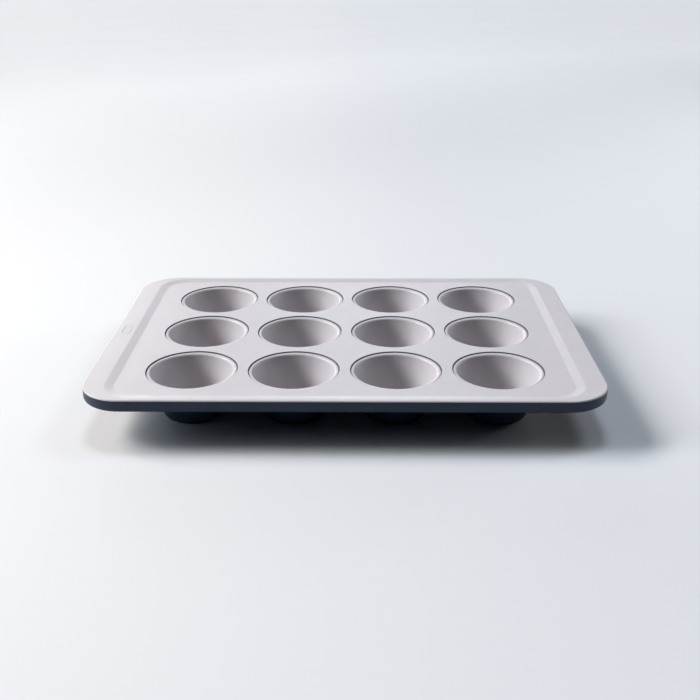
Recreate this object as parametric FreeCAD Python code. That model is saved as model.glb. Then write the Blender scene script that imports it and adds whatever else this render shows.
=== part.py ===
import FreeCAD, Part
import math
import os

# Twelve-cup muffin tin. Millimetres. +Z up, +X along the length, -Y towards the front.
# The origin is under the centre of the tin, on the surface that the cups stand on.

# Sheet metal
SHEET = 0.8                    # thickness of the deck plate and of every cup

# Outline of the tin in plan
LENGTH = 404.0                 # along X, over the skirt
WIDTH = 281.0                  # along Y, over the skirt
CORNER_R = 34.0                # outer corners

# Levels above the surface the tin stands on
DECK_Z = 37.5                  # top face of the recessed deck
RIM_Z = 38.7                   # top face of the flat rim
SKIRT_BOTTOM_Z = 28.5          # lowest point of the rolled hem

# Rim, ramp and skirt
EDGE_BEND_R = 0.8              # middle of the sheet where the rim turns down into the skirt
RAMP_SLOPE = 9.5               # steepest part of the soft ramp from rim to deck, in degrees
RAMP_BEND_R = 12.0             # middle of the sheet at the top and foot of the ramp
RAMP_INSET_X = 21.0            # middle of the ramp, in from the two ends
RAMP_INSET_Y = 7.5             # middle of the ramp, in from the front and back
RAMP_CORNER_R = 23.0           # middle of the ramp at its corners

# Hem wire
WIRE_R = 1.5                   # radius of the stiffening wire
WIRE_GAP = 0.05                # room between the wire and the sheet rolled round it
HEM_TURN = 270.0               # how far the hem is rolled, in degrees

# Cup layout
COLUMNS = 4
ROWS = 3
PITCH = 81.4                   # centre to centre, the same both ways

# Stepped seat round each mouth
SEAT_WALL_R = 36.0             # inner face of the step down from the deck
SEAT_BEND_R = 0.45             # middle of the sheet at both bends of the step
SEAT_DROP = 1.65               # from the deck's top face to the ledge's top face
SEAT_HOLE_R = 34.7             # hole left inside the ledge

# Cup
FLANGE_R = 35.65               # outer edge of the flange that lies on the ledge
LIP_START_R = 34.7             # where the flat flange begins to roll over into the wall
LIP_BEND_R = 2.0               # middle of the sheet at the rolled lip
WALL_SLOPE = 15.0              # degrees between the cup wall and upright
FOOT_BEND_R = 4.0              # middle of the sheet between wall and floor

# Plain rectangular emboss on the left end of the rim
EMBOSS_X = -192.8
EMBOSS_W = 8.0                 # along X, over the bead
EMBOSS_L = 18.0                # along Y, over the bead
EMBOSS_CORNER_R = 2.0          # outer corners of the bead
EMBOSS_BEAD = 0.9              # width of the bead
EMBOSS_RISE = 0.3              # height of the bead above the rim

HALF_SHEET = SHEET / 2
UP = FreeCAD.Vector(0, 0, 1)


def point(radius, level):
    """A point of an upright section: its distance from the axis or corner centre, and its height."""
    return FreeCAD.Vector(radius, 0, level)


def polar(centre, radius, angle):
    """The point at a radius and an angle, in degrees, round a centre in the section plane."""
    turn = math.radians(angle)
    return centre + point(radius * math.cos(turn), radius * math.sin(turn))


def bent_sheet(start, heading, moves):
    """Section of a bent sheet whose mid-line starts at a point and a heading in degrees.

    Each move is ("run", length) or ("bend", mid-line radius, degrees to the left).
    """
    left = []
    right = []
    here = start
    for move in moves:
        side = polar(point(0, 0), HALF_SHEET, heading + 90)
        if move[0] == "run":
            there = polar(here, move[1], heading)
            left.append(Part.makeLine(here + side, there + side))
            right.append(Part.makeLine(here - side, there - side))
        else:
            radius, turn = move[1:]
            way = math.copysign(1, turn)
            centre = polar(here, radius * way, heading + 90)
            outward = heading - 90 * way
            there = polar(centre, radius, outward + turn)
            for offset, edges in ((-way * HALF_SHEET, left), (way * HALF_SHEET, right)):
                corners = [polar(centre, radius + offset, outward + turn * part) for part in (0, 0.5, 1)]
                edges.append(Part.Arc(*corners).toShape())
            heading += turn
        here = there
    side = polar(point(0, 0), HALF_SHEET, heading + 90)
    end_cap = Part.makeLine(here + side, here - side)
    start_cap = Part.makeLine(right[0].Vertexes[0].Point, left[0].Vertexes[0].Point)
    edges = left + [end_cap] + right[::-1] + [start_cap]
    return Part.Face(Part.Wire(Part.__sortEdges__(edges)))


def around_outline(section, half_x, half_y, corner_r):
    """Carry a section round a rounded rectangle. Its radii are measured from the corner centres."""
    pieces = []
    for quarter in range(4):
        ahead, beside = (half_x, half_y) if quarter % 2 == 0 else (half_y, half_x)
        centre = FreeCAD.Vector(ahead - corner_r, beside - corner_r, 0)
        side = section.translated(FreeCAD.Vector(centre.x, -centre.y, 0))
        side = side.extrude(FreeCAD.Vector(0, 2 * centre.y, 0))
        corner = section.translated(centre).revolve(centre, UP, 90)
        for piece in (side, corner):
            piece.rotate(FreeCAD.Vector(), UP, 90 * quarter)
            pieces.append(piece)
    return joined(pieces)


def joined(pieces):
    """One solid from pieces that meet face to face."""
    return pieces[0].fuse(pieces[1:]).removeSplitter().Solids[0]


def rounded_slab(half_x, half_y, corner_r, bottom, thickness):
    """A flat plate with rounded corners, centred on the tin."""
    slab = Part.makeBox(2 * half_x, 2 * half_y, thickness, FreeCAD.Vector(-half_x, -half_y, bottom))
    upright = [e for e in slab.Edges if abs(e.tangentAt(e.FirstParameter).z) > 0.5]
    return slab.makeFillet(corner_r, upright)


def cup_centres():
    """Cup centres by name. Rows count from the front, columns from the left."""
    centres = {}
    for row in range(ROWS):
        for column in range(COLUMNS):
            x = (column - (COLUMNS - 1) / 2) * PITCH
            y = (row - (ROWS - 1) / 2) * PITCH
            centres["cup_r%dc%d" % (row + 1, column + 1)] = FreeCAD.Vector(x, y, 0)
    return centres


def edge_and_hem():
    """The rim's bent edge, the skirt and the hem rolled round the wire."""
    hem_r = WIRE_R + WIRE_GAP + HALF_SHEET
    drop = RIM_Z - HALF_SHEET - EDGE_BEND_R - SKIRT_BOTTOM_Z - hem_r - HALF_SHEET
    start = point(CORNER_R - HALF_SHEET - EDGE_BEND_R, RIM_Z - HALF_SHEET)
    moves = [("bend", EDGE_BEND_R, -90), ("run", drop), ("bend", hem_r, -HEM_TURN)]
    return around_outline(bent_sheet(start, 0, moves), LENGTH / 2, WIDTH / 2, CORNER_R)


def ramp_run():
    """Length of the ramp's straight part, between its two bends."""
    turn = math.radians(RAMP_SLOPE)
    in_bends = 2 * RAMP_BEND_R * (1 - math.cos(turn))
    return (RIM_Z - DECK_Z - in_bends) / math.sin(turn)


def ramp_width():
    """Width of the whole ramp in plan."""
    turn = math.radians(RAMP_SLOPE)
    return 2 * RAMP_BEND_R * math.sin(turn) + ramp_run() * math.cos(turn)


def ramp():
    """The soft slope from the rim down to the deck: a straight part between two opposite bends."""
    start = point(RAMP_CORNER_R + ramp_width() / 2, RIM_Z - HALF_SHEET)
    moves = [("bend", RAMP_BEND_R, RAMP_SLOPE), ("run", ramp_run()), ("bend", RAMP_BEND_R, -RAMP_SLOPE)]
    section = bent_sheet(start, 180, moves)
    return around_outline(section, LENGTH / 2 - RAMP_INSET_X, WIDTH / 2 - RAMP_INSET_Y, RAMP_CORNER_R)


def flat_rim():
    """The level strip between the bent edge and the ramp."""
    edge = HALF_SHEET + EDGE_BEND_R
    outer = rounded_slab(LENGTH / 2 - edge, WIDTH / 2 - edge, CORNER_R - edge, RIM_Z - SHEET, SHEET)
    reach = ramp_width() / 2
    half_x = LENGTH / 2 - RAMP_INSET_X + reach
    half_y = WIDTH / 2 - RAMP_INSET_Y + reach
    return outer.cut(rounded_slab(half_x, half_y, RAMP_CORNER_R + reach, RIM_Z - SHEET, SHEET))


def deck():
    """The recessed level deck, open where the stepped seats go."""
    reach = ramp_width() / 2
    half_x = LENGTH / 2 - RAMP_INSET_X - reach
    half_y = WIDTH / 2 - RAMP_INSET_Y - reach
    plate = rounded_slab(half_x, half_y, RAMP_CORNER_R - reach, DECK_Z - SHEET, SHEET)
    opening_r = SEAT_WALL_R + HALF_SHEET + SEAT_BEND_R
    for centre in cup_centres().values():
        opening = Part.makeCylinder(opening_r, SHEET, centre + FreeCAD.Vector(0, 0, DECK_Z - SHEET))
        plate = plate.cut(opening)
    return plate


def seat():
    """The step down from the deck to the ledge that carries a cup's flange, about the Z axis."""
    mid_wall_r = SEAT_WALL_R + HALF_SHEET
    start = point(mid_wall_r + SEAT_BEND_R, DECK_Z - HALF_SHEET)
    step = [("bend", SEAT_BEND_R, 90), ("run", SEAT_DROP - 2 * SEAT_BEND_R), ("bend", SEAT_BEND_R, -90)]
    ledge = [("run", mid_wall_r - SEAT_BEND_R - SEAT_HOLE_R)]
    return bent_sheet(start, 180, step + ledge).revolve(FreeCAD.Vector(), UP, 360)


def emboss():
    """A plain rectangular bead on the left end of the rim. Half of its height is sunk into the sheet."""
    def block(inset):
        half_x = EMBOSS_W / 2 - inset
        half_y = EMBOSS_L / 2 - inset
        slab = rounded_slab(half_x, half_y, EMBOSS_CORNER_R - inset, RIM_Z - EMBOSS_RISE, 2 * EMBOSS_RISE)
        return slab.translated(FreeCAD.Vector(EMBOSS_X, 0, 0))
    return block(0).cut(block(EMBOSS_BEAD))


def deck_plate():
    """The whole top sheet."""
    seats = [seat().translated(centre) for centre in cup_centres().values()]
    return joined([deck(), flat_rim(), ramp(), edge_and_hem(), emboss()] + seats)


def rim_wire():
    """The closed wire inside the hem."""
    inset = SHEET + WIRE_GAP + WIRE_R
    centre = point(CORNER_R - inset, SKIRT_BOTTOM_Z + inset)
    ring = Part.Circle(centre, FreeCAD.Vector(0, 1, 0), WIRE_R).toShape()
    return around_outline(Part.Face(Part.Wire(ring)), LENGTH / 2, WIDTH / 2, CORNER_R)


def cup():
    """One drawn cup about the Z axis: flange, rolled lip, sloping wall and flat floor."""
    flange_z = DECK_Z - SEAT_DROP + HALF_SHEET
    turn = 90 - WALL_SLOPE
    lost = (LIP_BEND_R + FOOT_BEND_R) * (1 - math.cos(math.radians(turn)))
    wall = (flange_z - HALF_SHEET - lost) / math.sin(math.radians(turn))
    run_in = (LIP_BEND_R + FOOT_BEND_R) * math.sin(math.radians(turn))
    floor_r = LIP_START_R - run_in - wall * math.cos(math.radians(turn))
    moves = [("run", FLANGE_R - LIP_START_R), ("bend", LIP_BEND_R, turn), ("run", wall),
             ("bend", FOOT_BEND_R, -turn), ("run", floor_r)]
    return bent_sheet(point(FLANGE_R, flange_z), 180, moves).revolve(FreeCAD.Vector(), UP, 360)


def save(node, shape):
    """Write one piece as its own file."""
    shape.exportStep("parts/%s.step" % node)
    box = shape.optimalBoundingBox()
    print("%-12s %9.1f mm3  solids %d  valid %s  x %.2f..%.2f  y %.2f..%.2f  z %.2f..%.2f" % (
        node, shape.Volume, len(shape.Solids), shape.isValid(),
        box.XMin, box.XMax, box.YMin, box.YMax, box.ZMin, box.ZMax))


os.makedirs("parts", exist_ok=True)
save("deck_plate", deck_plate())
save("rim_wire", rim_wire())
for name, middle in cup_centres().items():
    save(name, cup().translated(middle))
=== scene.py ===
import math

import bmesh
import bpy
from mathutils import Matrix, Vector


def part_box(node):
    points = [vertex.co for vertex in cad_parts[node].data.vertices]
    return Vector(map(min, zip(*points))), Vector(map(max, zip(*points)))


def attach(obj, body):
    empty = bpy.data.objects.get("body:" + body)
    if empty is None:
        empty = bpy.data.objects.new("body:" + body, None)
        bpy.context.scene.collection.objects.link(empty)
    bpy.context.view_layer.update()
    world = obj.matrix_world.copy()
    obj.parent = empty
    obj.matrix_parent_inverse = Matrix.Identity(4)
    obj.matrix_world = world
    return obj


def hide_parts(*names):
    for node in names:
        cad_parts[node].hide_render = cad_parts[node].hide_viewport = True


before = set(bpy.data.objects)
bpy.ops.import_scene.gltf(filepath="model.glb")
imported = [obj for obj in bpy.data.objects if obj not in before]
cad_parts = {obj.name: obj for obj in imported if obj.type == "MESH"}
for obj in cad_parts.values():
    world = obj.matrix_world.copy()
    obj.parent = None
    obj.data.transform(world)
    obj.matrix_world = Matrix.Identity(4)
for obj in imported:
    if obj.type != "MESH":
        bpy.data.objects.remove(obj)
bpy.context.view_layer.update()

MM = 0.001

# ---------------------------------------------------------------- sizes, in mm, as in the CAD model
PLATE_LO, PLATE_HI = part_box("deck_plate")
HALF_X = PLATE_HI.x / MM
HALF_Y = PLATE_HI.y / MM
SKIRT_BOTTOM_Z = PLATE_LO.z / MM
CORNER_R = 34.0
SHEET = 0.8
HALF_SHEET = SHEET / 2
DECK_Z = 37.5
RIM_Z = 38.7
EDGE_BEND_R = 0.8
RAMP_SLOPE = 9.5
RAMP_BEND_R = 12.0
RAMP_INSET_X = 21.0
RAMP_INSET_Y = 7.5
RAMP_CORNER_R = 23.0
WIRE_R = 1.5
WIRE_GAP = 0.05
HEM_R = WIRE_R + WIRE_GAP + HALF_SHEET
HEM_TURN = 270.0
SEAT_WALL_R = 36.0
SEAT_BEND_R = 0.45
SEAT_DROP = 1.65
SEAT_HOLE_R = 34.7
FLANGE_R = 35.65
LIP_START_R = 34.7
LIP_BEND_R = 2.0
WALL_SLOPE = 15.0
FOOT_BEND_R = 4.0
EMBOSS_X = -192.8
EMBOSS_W = 8.0
EMBOSS_L = 18.0
EMBOSS_CORNER_R = 2.0

RAMP_TURN = math.radians(RAMP_SLOPE)
RAMP_RUN = (RIM_Z - DECK_Z - 2 * RAMP_BEND_R * (1 - math.cos(RAMP_TURN))) / math.sin(RAMP_TURN)
RAMP_REACH = RAMP_BEND_R * math.sin(RAMP_TURN) + RAMP_RUN / 2 * math.cos(RAMP_TURN)     # half its width
EDGE_START_R = CORNER_R - HALF_SHEET - EDGE_BEND_R

CUPS = sorted(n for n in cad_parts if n.startswith("cup_"))
CENTRE = {}
for _name in CUPS:
    _lo, _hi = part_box(_name)
    CENTRE[_name] = ((_lo.x + _hi.x) / 2 / MM, (_lo.y + _hi.y) / 2 / MM)
COLUMN_X = sorted({round(c[0], 2) for c in CENTRE.values()})
ROW_Y = sorted({round(c[1], 2) for c in CENTRE.values()})
PITCH = COLUMN_X[1] - COLUMN_X[0]

# ---------------------------------------------------------------- how finely the meshes are cut
ROUND = 96              # segments round a cup, a multiple of 8
SIDE = ROUND // 4       # segments along one side of a cup's square of deck
SIDE_COUNTS = [SIDE * len(COLUMN_X), SIDE * len(ROW_Y)] * 2     # segments along each side of the plate
ARC = 9                 # segments in half of an outline's corner
SEAT_STEP = 15.0        # degrees of bend in one step of each section
RAMP_STEP = 1.3
EDGE_STEP = 10.0
CUP_STEP = 6.0
RUN_HOLD = 0.25         # mm from a bend to the ring that keeps a flat run flat in the shading
FLAT_HOLD = 0.3         # the same on the deck and the rim
RAMP_FOOT_HOLD = 0.4    # the same on the deck at the foot of the ramp
WELD = 2e-6             # m within which two points are one

# ---------------------------------------------------------------- coats, and the painted shade on the seat walls
GREY, NAVY, SEAT_SHADE = 0, 1, 2
GREY_EDGE_STEPS = 8     # of the nine steps round the edge bend, how many the grey coat covers
SEAT_SHADE_FROM, SEAT_SHADE_TO = 5, 15      # the steps of each seat, from its ledge up, painted dark as painted shade of the crevice round the cup's flange

# ---------------------------------------------------------------- camera and stage
CAMERA_PLACE = (0.01257, -0.76935, 0.35018)
CAMERA_PITCH, CAMERA_YAW, CAMERA_ROLL = 0.4060, -0.0123, -0.0030    # radians
CAMERA_LENS = 48.785
SENSOR = 36.0
FLOOR_HALF = 30.0
FLOOR_GAP = 0.0002
SUN_DISTANCE = 3.0


def make_camera():
    """The view of the photograph: a 49 mm lens, 23 degrees down, nearly square on to the front."""
    level = Vector((math.cos(CAMERA_YAW), -math.sin(CAMERA_YAW), 0))
    ahead = Vector((math.sin(CAMERA_YAW) * math.cos(CAMERA_PITCH),
                    math.cos(CAMERA_YAW) * math.cos(CAMERA_PITCH), -math.sin(CAMERA_PITCH)))
    above = level.cross(ahead)
    right = level * math.cos(CAMERA_ROLL) + above * math.sin(CAMERA_ROLL)
    up = above * math.cos(CAMERA_ROLL) - level * math.sin(CAMERA_ROLL)
    data = bpy.data.cameras.new("camera")
    data.sensor_width = SENSOR
    data.lens = CAMERA_LENS
    data.clip_end = 2 * FLOOR_HALF
    cam = bpy.data.objects.new("camera", data)
    place = Matrix((right, up, -ahead)).transposed().to_4x4()
    place.translation = CAMERA_PLACE
    cam.matrix_world = place
    bpy.context.scene.collection.objects.link(cam)
    bpy.context.scene.camera = cam


# ---------------------------------------------------------------- node materials
class Nodes:
    """A short way to write a node material."""

    def __init__(self, name):
        self.material = bpy.data.materials.new(name)
        self.material.use_nodes = True
        self.tree = self.material.node_tree
        self.shader = self.tree.nodes["Principled BSDF"]

    def put(self, node, key, value):
        """Links or sets one input, named by its place, as i0, or by its name with underscores."""
        by_place = key[0] == "i" and key[1:].isdigit()
        slot = node.inputs[int(key[1:]) if by_place else key.replace("_", " ")]
        if isinstance(value, bpy.types.NodeSocket):
            self.tree.links.new(value, slot)
        else:
            slot.default_value = value

    def surface(self, **inputs):
        """Links or sets the shader's own inputs."""
        for key, value in inputs.items():
            self.put(self.shader, key, value)

    def node(self, kind, **inputs):
        made = self.tree.nodes.new(kind)
        for key, value in inputs.items():
            self.put(made, key, value)
        return made

    def place(self):
        """The point of the surface, in metres."""
        return self.node("ShaderNodeTexCoord").outputs["Object"]

    def noise(self, scale, detail, rough, seed):
        made = self.node("ShaderNodeTexNoise", Scale=scale, Detail=detail, Roughness=rough)
        made.noise_dimensions = "4D"
        self.put(made, "W", seed)
        self.put(made, "Vector", self.place())
        return made.outputs["Fac"]

    def span(self, value, low, high, to_low=0.0, to_high=1.0):
        """The value, moved in line from one range to another and held at its ends."""
        return self.node("ShaderNodeMapRange", i0=value, i1=low, i2=high, i3=to_low, i4=to_high).outputs[0]

    def fade(self, value, low, high):
        """From 0 to 1 as the value goes from low to high, with soft ends."""
        made = self.node("ShaderNodeMapRange", i0=value, i1=low, i2=high, i3=0.0, i4=1.0)
        made.interpolation_type = "SMOOTHSTEP"
        return made.outputs[0]

    def cloud(self, scale, detail, rough, seed, to_low=0.0, to_high=1.0):
        """Soft patches of noise between two values."""
        return self.span(self.noise(scale, detail, rough, seed), 0.3, 0.7, to_low, to_high)

    def grain(self, scale, seed, amount):
        """Fine specks, as a share of the surface from 0 to the amount."""
        specks = self.span(self.noise(scale, 2.0, 0.6, seed), 0.35, 0.65)
        return self.math("MULTIPLY", specks, amount)

    def mix(self, factor, one, two):
        made = self.tree.nodes.new("ShaderNodeMix")
        made.data_type = "RGBA"
        self.put(made, "i0", factor)
        self.put(made, "i6", one)
        self.put(made, "i7", two)
        return made.outputs[2]

    def math(self, kind, one, two):
        made = self.tree.nodes.new("ShaderNodeMath")
        made.operation = kind
        self.put(made, "i0", one)
        self.put(made, "i1", two)
        return made.outputs[0]

    def bump(self, height, distance, strength, under=None):
        """A bumped normal, laid over another one if it is given."""
        made = self.node("ShaderNodeBump", Height=height, Distance=distance, Strength=strength)
        if under is not None:
            self.put(made, "Normal", under)
        return made.outputs["Normal"]


def srgb(red, green, blue):
    """A linear colour from 8-bit display values."""
    def linear(v):
        v /= 255
        return v / 12.92 if v <= 0.04045 else ((v + 0.055) / 1.055) ** 2.4
    return (linear(red), linear(green), linear(blue), 1.0)


def ceramic_material():
    """Light warm-grey ceramic non-stick: satin, with a fine sprayed texture and faint mottling."""
    m = Nodes("ceramic_grey")
    colour = m.mix(m.cloud(45.0, 4.0, 0.55, 1.0), srgb(193, 188, 192), srgb(198, 193, 196))
    colour = m.mix(m.grain(2600.0, 2.0, 0.35), colour, srgb(184, 179, 183))
    peel = m.bump(m.noise(900.0, 2.0, 0.5, 4.0), 0.00002, 0.5)
    m.surface(Base_Color=colour, Roughness=m.cloud(160.0, 3.0, 0.5, 3.0, 0.40, 0.50),
              Specular_IOR_Level=0.42, Coat_Weight=0.10, Coat_Roughness=0.28,
              Normal=m.bump(m.noise(18.0, 2.0, 0.5, 5.0), 0.00012, 0.2, peel))
    return m.material


def enamel_material():
    """Dark navy enamel: satin, with a fine orange-peel texture."""
    m = Nodes("navy_enamel")
    colour = m.mix(m.cloud(60.0, 4.0, 0.55, 11.0), srgb(24, 38, 58), srgb(29, 44, 66))
    colour = m.mix(m.grain(2200.0, 12.0, 0.3), colour, srgb(38, 52, 74))
    m.surface(Base_Color=colour, Roughness=m.cloud(140.0, 3.0, 0.5, 13.0, 0.36, 0.48),
              Specular_IOR_Level=0.32,
              Normal=m.bump(m.noise(1100.0, 2.0, 0.5, 14.0), 0.00003, 0.6))
    return m.material


def seat_shade_material():
    """The steep wall of a seat, painted dark grey as painted shade: the grey-coated wall of the narrow
    crevice round each cup's flange lies in shade.
    """
    m = Nodes("painted_seat_wall_shade")
    colour = m.mix(m.cloud(320.0, 4.0, 0.6, 15.0), srgb(64, 66, 74), srgb(82, 83, 90))
    m.surface(Base_Color=colour, Roughness=m.cloud(160.0, 3.0, 0.5, 16.0, 0.5, 0.6),
              Specular_IOR_Level=0.4,
              Normal=m.bump(m.noise(900.0, 2.0, 0.5, 17.0), 0.00002, 0.5))
    return m.material


def wire_material():
    """Drawn bright steel, with fine drawing marks."""
    m = Nodes("wire_steel")
    marks = m.noise(700.0, 3.0, 0.6, 21.0)
    colour = m.mix(m.span(marks, 0.3, 0.7), srgb(150, 150, 152), srgb(184, 184, 186))
    m.surface(Base_Color=colour, Metallic=1.0, Roughness=m.span(marks, 0.3, 0.7, 0.28, 0.42),
              Normal=m.bump(marks, 0.00002, 0.4))
    return m.material


def floor_material():
    """Pale matt studio paper, with painted light: a little lighter to the left and far from the tin, for the
    fall-off of the lights from the left and behind.
    """
    m = Nodes("studio_floor")
    across = m.node("ShaderNodeSeparateXYZ", Vector=m.place()).outputs["X"]
    to_right = m.fade(across, -0.35, 0.25)
    reach = m.node("ShaderNodeVectorMath", i0=m.place())
    reach.operation = "LENGTH"
    far = m.fade(m.math("SUBTRACT", reach.outputs["Value"], m.math("MULTIPLY", across, 0.6)), 0.8, 2.4)
    # painted light: lighter to the left and far away, darker to the right and near the camera, where less
    # light falls
    near_floor_painted_light = m.mix(to_right, srgb(222, 221, 222), srgb(208, 209, 212))
    far_floor_painted_light = m.mix(to_right, srgb(252, 251, 251), srgb(247, 248, 250))
    paper = m.mix(far, near_floor_painted_light, far_floor_painted_light)
    colour = m.mix(m.cloud(3.0, 3.0, 0.5, 31.0, 0.0, 0.1), paper, srgb(222, 224, 228))
    m.surface(Base_Color=colour, Roughness=m.cloud(400.0, 3.0, 0.6, 32.0, 0.72, 0.82),
              Specular_IOR_Level=0.25,
              Normal=m.bump(m.noise(1500.0, 3.0, 0.6, 33.0), 0.00002, 0.4))
    return m.material


# ---------------------------------------------------------------- bent-sheet sections
def polar(centre, radius, angle):
    turn = math.radians(angle)
    return (centre[0] + radius * math.cos(turn), centre[1] + radius * math.sin(turn))


def faces_of_sheet(start, heading, moves, step):
    """The two faces of a bent sheet, as lists of points, to the left and to the right of its mid-line.

    Moves are ("run", length) or ("bend", mid-line radius, degrees to the left). A long run keeps a
    point near each end, so that its flat stays flat in the shading.
    """
    stations = [(start, heading)]
    here = start
    for move in moves:
        if move[0] == "run":
            length = move[1]
            stops = [RUN_HOLD, length - RUN_HOLD] if length > 3 * RUN_HOLD else []
            stations += [(polar(here, s, heading), heading) for s in stops + [length]]
        else:
            radius, turn = move[1:]
            way = math.copysign(1, turn)
            centre = polar(here, radius * way, heading + 90)
            parts = max(2, math.ceil(abs(turn) / step))
            for k in range(1, parts + 1):
                now = heading + turn * k / parts
                stations.append((polar(centre, radius, now - 90 * way), now))
            heading += turn
        here = stations[-1][0]
    left = [polar(p, HALF_SHEET, h + 90) for p, h in stations]
    right = [polar(p, HALF_SHEET, h - 90) for p, h in stations]
    return left, right


def seat_section():
    """Underside and top of a seat, from the deck down its wall to the hole in its ledge."""
    wall_r = SEAT_WALL_R + HALF_SHEET
    moves = [("bend", SEAT_BEND_R, 90), ("run", SEAT_DROP - 2 * SEAT_BEND_R),
             ("bend", SEAT_BEND_R, -90), ("run", wall_r - SEAT_BEND_R - SEAT_HOLE_R)]
    return faces_of_sheet((wall_r + SEAT_BEND_R, DECK_Z - HALF_SHEET), 180, moves, SEAT_STEP)


def ramp_section():
    """Underside and top of the ramp, from the rim down to the deck."""
    moves = [("bend", RAMP_BEND_R, RAMP_SLOPE), ("run", RAMP_RUN), ("bend", RAMP_BEND_R, -RAMP_SLOPE)]
    return faces_of_sheet((RAMP_CORNER_R + RAMP_REACH, RIM_Z - HALF_SHEET), 180, moves, RAMP_STEP)


def edge_section():
    """Outside and inside of the rim's bend, the skirt and the hem rolled round the wire."""
    drop = RIM_Z - HALF_SHEET - EDGE_BEND_R - SKIRT_BOTTOM_Z - HEM_R - HALF_SHEET
    moves = [("bend", EDGE_BEND_R, -90), ("run", drop), ("bend", HEM_R, -HEM_TURN)]
    return faces_of_sheet((EDGE_START_R, RIM_Z - HALF_SHEET), 0, moves, EDGE_STEP)


def cup_section():
    """Outside and inside of a cup, from the edge of its flange to near the middle of its floor."""
    flange_z = DECK_Z - SEAT_DROP + HALF_SHEET
    turn = 90 - WALL_SLOPE
    lost = (LIP_BEND_R + FOOT_BEND_R) * (1 - math.cos(math.radians(turn)))
    wall = (flange_z - HALF_SHEET - lost) / math.sin(math.radians(turn))
    run_in = (LIP_BEND_R + FOOT_BEND_R) * math.sin(math.radians(turn))
    floor_r = LIP_START_R - run_in - wall * math.cos(math.radians(turn))
    floor_left = 0.5
    moves = [("run", FLANGE_R - LIP_START_R), ("bend", LIP_BEND_R, turn), ("run", wall),
             ("bend", FOOT_BEND_R, -turn), ("run", floor_r - floor_left)]
    return faces_of_sheet((FLANGE_R, flange_z), 180, moves, CUP_STEP)


# ---------------------------------------------------------------- rings of points
def corners_of(half_x, half_y):
    return [(-half_x, -half_y), (half_x, -half_y), (half_x, half_y), (-half_x, half_y)]


def circle(centre, radius, level):
    """Points round a circle, starting towards the front left corner of the square round it."""
    turns = [-135 + 360 * i / ROUND for i in range(ROUND)]
    return [(*polar(centre, radius, turn), level) for turn in turns]


def rectangle(centre, half_x, half_y, level, counts):
    """Points round a rectangle, starting at its front left corner, evenly spaced along each side."""
    corners = corners_of(half_x, half_y)
    points = []
    for side, total in enumerate(counts):
        a, b = corners[side], corners[(side + 1) % 4]
        for i in range(total):
            t = i / total
            points.append((centre[0] + a[0] + (b[0] - a[0]) * t, centre[1] + a[1] + (b[1] - a[1]) * t, level))
    return points


def outline(half_x, half_y, corner_r, level):
    """Points round a rounded rectangle, as many on each side as the cups' squares have there."""
    corners = corners_of(half_x, half_y)
    points = []
    for side, total in enumerate(SIDE_COUNTS):
        a, b = Vector(corners[side]), Vector(corners[(side + 1) % 4])
        along = (b - a).normalized()
        out = Vector((along.y, -along.x))
        straight = (b - a).length - 2 * corner_r
        for i in range(total):
            if i < ARC or i > total - ARC:
                near = a + along * corner_r if i < ARC else b - along * corner_r
                turn = math.radians(45 * (1 - (i if i < ARC else total - i) / ARC))
                lean = -1 if i < ARC else 1
                p = near - out * corner_r + (out * math.cos(turn) + along * lean * math.sin(turn)) * corner_r
            else:
                t = (i - ARC) / (total - 2 * ARC)
                p = a + along * (corner_r + straight * t)
            points.append((p.x, p.y, level))
    return points


def small_outline(centre_x, half_x, half_y, corner_r, steps):
    """Points round a small rounded rectangle on the X axis, with so many steps in each corner."""
    points = []
    for quarter, (way_x, way_y) in enumerate(((1, 1), (-1, 1), (-1, -1), (1, -1))):
        middle = (centre_x + way_x * (half_x - corner_r), way_y * (half_y - corner_r))
        for i in range(steps + 1):
            points.append(polar(middle, corner_r, 90 * quarter + 90 * i / steps))
    return points


# ---------------------------------------------------------------- mesh building
class Shell:
    """Collects rings of points and the faces between them, in mm."""

    def __init__(self):
        self.points = []
        self.faces = []
        self.slots = []

    def ring(self, points):
        first = len(self.points)
        self.points += points
        return list(range(first, len(self.points)))

    def turned(self, centre, profile):
        """Rings of a profile of (radius, level) points turned about a cup's axis."""
        return [self.ring(circle(centre, r, z)) for r, z in profile]

    def carried(self, half_x, half_y, corner_r, profile):
        """Rings of a profile of (distance from the corner's centre, level) points round an outline."""
        return [self.ring(outline(half_x + r - corner_r, half_y + r - corner_r, r, z)) for r, z in profile]

    def bridge(self, one, two, slot):
        count = len(one)
        for i in range(count):
            j = (i + 1) % count
            self.faces.append((one[i], one[j], two[j], two[i]))
            self.slots.append(slot)

    def strip(self, rings, slots):
        """Bridges each ring to the next, with one slot for each gap."""
        for one, two, slot in zip(rings, rings[1:], slots):
            self.bridge(one, two, slot)

    def fan(self, ring, middle, slot):
        for i in range(len(ring)):
            self.faces.append((ring[i], ring[(i + 1) % len(ring)], middle))
            self.slots.append(slot)

    def object(self, name, materials, edit=None):
        """The finished mesh object, welded, with its faces pointing out."""
        mesh = bpy.data.meshes.new(name)
        mesh.from_pydata([Vector(p) * MM for p in self.points], [], self.faces)
        for polygon, slot in zip(mesh.polygons, self.slots):
            polygon.material_index = slot
        work = bmesh.new()
        work.from_mesh(mesh)
        bmesh.ops.remove_doubles(work, verts=work.verts, dist=WELD)
        if edit:
            edit(work)
        bmesh.ops.recalc_face_normals(work, faces=work.faces)
        for face in work.faces:
            face.smooth = True
        work.to_mesh(mesh)
        work.free()
        for material in materials:
            mesh.materials.append(material)
        made = bpy.data.objects.new(name, mesh)
        bpy.context.scene.collection.objects.link(made)
        return made


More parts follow.
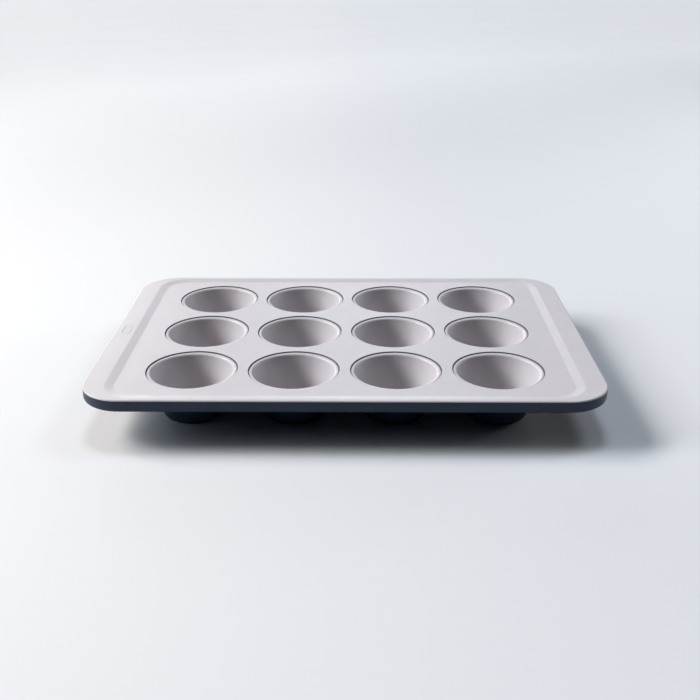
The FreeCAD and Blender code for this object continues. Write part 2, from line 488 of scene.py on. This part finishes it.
# ---------------------------------------------------------------- the deck plate
def emboss_patch(work):
    """Presses a plain rectangular bead into the left end of the rim, in place of its flat faces there."""
    half_x, half_y = EMBOSS_W / 2, EMBOSS_L / 2
    clear_x, clear_y = 4.0, 5.0
    off_level = 1e-3
    # the bead's section: distance in from its outer line, and height above the rim
    section = [(-0.8, 0.0), (-0.4, 0.0), (-0.15, 0.03), (0.05, 0.10), (0.25, 0.21), (0.45, 0.28),
               (0.65, 0.28), (0.85, 0.21), (1.05, 0.10), (1.25, 0.03), (1.5, 0.0), (1.9, 0.0)]
    outer_corner_r = EMBOSS_CORNER_R + 0.4
    corner_shrink = 0.8
    corner_steps = 8

    def in_patch(vert):
        x, y, z = vert.co / MM
        return abs(z - RIM_Z) < off_level and x < EMBOSS_X + half_x + clear_x and abs(y) < half_y + clear_y

    gone = [f for f in work.faces if f.material_index == GREY and all(in_patch(v) for v in f.verts)]
    edges = list(dict.fromkeys(e for f in gone for e in f.edges))
    inside = [e for e in edges if all(g in gone for g in e.link_faces)]
    border = [e for e in edges if e not in inside]
    bmesh.ops.delete(work, geom=gone, context="FACES_ONLY")
    bmesh.ops.delete(work, geom=inside, context="EDGES")
    rings = []
    for inset, height in section:
        corner_r = outer_corner_r - inset * corner_shrink
        ring = small_outline(EMBOSS_X, half_x - inset, half_y - inset, corner_r, corner_steps)
        rings.append([work.verts.new(Vector((x, y, RIM_Z + height)) * MM) for x, y in ring])
    for one, two in zip(rings, rings[1:]):
        for i in range(len(one)):
            j = (i + 1) % len(one)
            work.faces.new((one[i], one[j], two[j], two[i])).material_index = GREY
    work.faces.new(rings[-1]).material_index = GREY
    outer = [work.edges.get((a, b)) for a, b in zip(rings[0], rings[0][1:] + rings[0][:1])]
    filled = bmesh.ops.triangle_fill(work, edges=border + outer, use_beauty=True, normal=(0, 0, 1))
    for item in filled["geom"]:
        if isinstance(item, bmesh.types.BMFace):
            item.material_index = GREY


def seat_faces(shell, seat, level, slot, wall_slot):
    """One face of every seat, out to its square of deck. Gives the ring of each hole."""
    holes = []
    for name in CUPS:
        rings = shell.turned(CENTRE[name], seat[::-1] + [(seat[0][0] + FLAT_HOLD, level)])
        # the wall steps take the given wall slot, which on the top face is the dark painted shade
        slots = [wall_slot if SEAT_SHADE_FROM <= k < SEAT_SHADE_TO else slot for k in range(len(rings) - 1)]
        shell.strip(rings, slots)
        square = rectangle(CENTRE[name], PITCH / 2, PITCH / 2, level, [SIDE] * 4)
        shell.bridge(rings[-1], shell.ring(square), slot)
        holes.append(rings[0])
    return holes


def plate_face(shell, seat, ramp, edge, lowered, slot):
    """One whole face of the plate. Gives the rings of its holes and of the end of its hem."""
    deck, rim = DECK_Z - lowered, RIM_Z - lowered
    top_face = slot == GREY
    # the seat walls of the top face get the dark painted shade of the crevice
    holes = seat_faces(shell, seat, deck, slot, SEAT_SHADE if top_face else slot)
    down = [(RAMP_CORNER_R - RAMP_REACH - RAMP_FOOT_HOLD, deck)] + ramp[::-1]
    down.append((RAMP_CORNER_R + RAMP_REACH + FLAT_HOLD, rim))
    ramp_rings = shell.carried(HALF_X - RAMP_INSET_X, HALF_Y - RAMP_INSET_Y, RAMP_CORNER_R, down)
    half_x, half_y = PITCH * len(COLUMN_X) / 2, PITCH * len(ROW_Y) / 2
    cells = shell.ring(rectangle((0.0, 0.0), half_x, half_y, deck, SIDE_COUNTS))
    shell.bridge(cells, ramp_rings[0], slot)
    shell.strip(ramp_rings, [slot] * (len(ramp_rings) - 1))
    edge_rings = shell.carried(HALF_X, HALF_Y, CORNER_R, [(EDGE_START_R - FLAT_HOLD, rim)] + edge)
    shell.bridge(ramp_rings[-1], edge_rings[0], slot)
    covered = 1 + GREY_EDGE_STEPS if top_face else 0
    shell.strip(edge_rings, [GREY] * covered + [NAVY] * (len(edge_rings) - 1 - covered))
    return holes, edge_rings[-1]


def make_deck_plate(grey, navy, seat_shade):
    """The pressed top sheet: seats, deck, ramp, rim, skirt and rolled hem, both faces, as one closed mesh."""
    shell = Shell()
    seat_under, seat_top = seat_section()
    ramp_under, ramp_top = ramp_section()
    edge_out, edge_in = edge_section()
    top_holes, top_end = plate_face(shell, seat_top, ramp_top, edge_out, 0.0, GREY)
    under_holes, under_end = plate_face(shell, seat_under, ramp_under, edge_in, SHEET, NAVY)
    for top, under in zip(top_holes, under_holes):
        shell.bridge(top, under, NAVY)
    shell.bridge(top_end, under_end, NAVY)
    # the third material is the painted shade on the seat walls
    return shell.object("deck_plate_sheet", [grey, navy, seat_shade], emboss_patch)


# ---------------------------------------------------------------- the cups
def make_cup(name, grey, navy):
    """One drawn cup: grey inside from the flange's edge to the floor, navy outside."""
    shell = Shell()
    outside, inside = cup_section()
    centre = CENTRE[name]
    inner = shell.turned(centre, inside)
    outer = shell.turned(centre, outside)
    shell.strip(inner, [GREY] * (len(inner) - 1))
    shell.strip(outer, [NAVY] * (len(outer) - 1))
    shell.bridge(inner[0], outer[0], GREY)
    for rings, profile, slot in ((inner, inside, GREY), (outer, outside, NAVY)):
        middle = shell.ring([(centre[0], centre[1], profile[-1][1])])[0]
        shell.fan(rings[-1], middle, slot)
    return shell.object(name + "_shell", [grey, navy])


# ---------------------------------------------------------------- stage
def make_floor():
    """A wide pale floor just under the cups."""
    mesh = bpy.data.meshes.new("studio_floor")
    corners = [(x, y, 0) for x, y in corners_of(FLOOR_HALF, FLOOR_HALF)]
    mesh.from_pydata(corners, [], [(0, 1, 2, 3)])
    mesh.materials.append(floor_material())
    floor = bpy.data.objects.new("studio_floor", mesh)
    floor.location.z = -FLOOR_GAP
    bpy.context.scene.collection.objects.link(floor)


def aim(light, azimuth, elevation, distance):
    """Places a light that looks at the tin. Azimuth 0 is behind the camera, 90 right, 180 at the back."""
    a, e = math.radians(azimuth), math.radians(elevation)
    way = Vector((math.sin(a) * math.cos(e), -math.cos(a) * math.cos(e), math.sin(e)))
    light.rotation_mode = "QUATERNION"
    light.rotation_quaternion = way.to_track_quat("Z", "Y")
    light.location = way * distance
    light.visible_camera = False
    bpy.context.scene.collection.objects.link(light)


def far_light(name, azimuth, elevation, spread, strength, colour):
    """A softbox so far away that its light is even. Its spread is its apparent size, in degrees."""
    data = bpy.data.lights.new(name, "SUN")
    data.angle = math.radians(spread)
    data.energy = strength
    data.color = colour
    aim(bpy.data.objects.new(name, data), azimuth, elevation, SUN_DISTANCE)


def near_light(name, azimuth, elevation, distance, size, power, colour):
    """A square softbox beside the tin, in metres and watts."""
    data = bpy.data.lights.new(name, "AREA")
    data.size = size
    data.energy = power
    data.color = colour
    aim(bpy.data.objects.new(name, data), azimuth, elevation, distance)


def make_lights():
    """A wide key from the left, made of overlapping boxes, and weak fills from the back and right."""
    neutral, cool, warm = (1.0, 0.99, 0.97), (0.90, 1.0, 1.14), (1.06, 0.98, 0.86)
    near_light("key_near", 270, 35, 1.6, 0.45, 9.8, warm)
    near_light("key_low_near", 285, 20, 1.6, 0.45, 3.6, cool)
    near_light("fill_right_near", 120, 50, 2.0, 0.56, 6.2, cool)
    near_light("fill_right_low_near", 120, 15, 2.0, 0.56, 7.5, neutral)
    far_light("key", 260, 40, 16, 0.92, cool)
    far_light("key_back", 240, 40, 16, 1.40, warm)
    far_light("key_low", 270, 26, 16, 0.59, cool)
    far_light("back_top", 180, 72, 16, 0.71, cool)
    far_light("back_left_low", 200, 12, 16, 0.44, neutral)
    far_light("back_low", 180, 12, 16, 0.21, cool)
    world = bpy.data.worlds.new("studio")
    world.use_nodes = True
    world.node_tree.nodes["Background"].inputs["Strength"].default_value = 0.0
    bpy.context.scene.world = world


# ---------------------------------------------------------------- assembly
make_camera()
GREY_COAT, NAVY_COAT = ceramic_material(), enamel_material()
# the third material is the painted shade on the seat walls
plate = make_deck_plate(GREY_COAT, NAVY_COAT, seat_shade_material())
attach(plate, "root")
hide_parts("deck_plate")
for cup_name in CUPS:
    cup = make_cup(cup_name, GREY_COAT, NAVY_COAT)
    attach(cup, "root")
    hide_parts(cup_name)
WIRE = wire_material()
for material_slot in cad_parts["rim_wire"].material_slots:
    material_slot.material = WIRE
make_floor()
make_lights()

scene = bpy.context.scene
scene.view_settings.view_transform = "Standard"
scene.view_settings.look = "None"
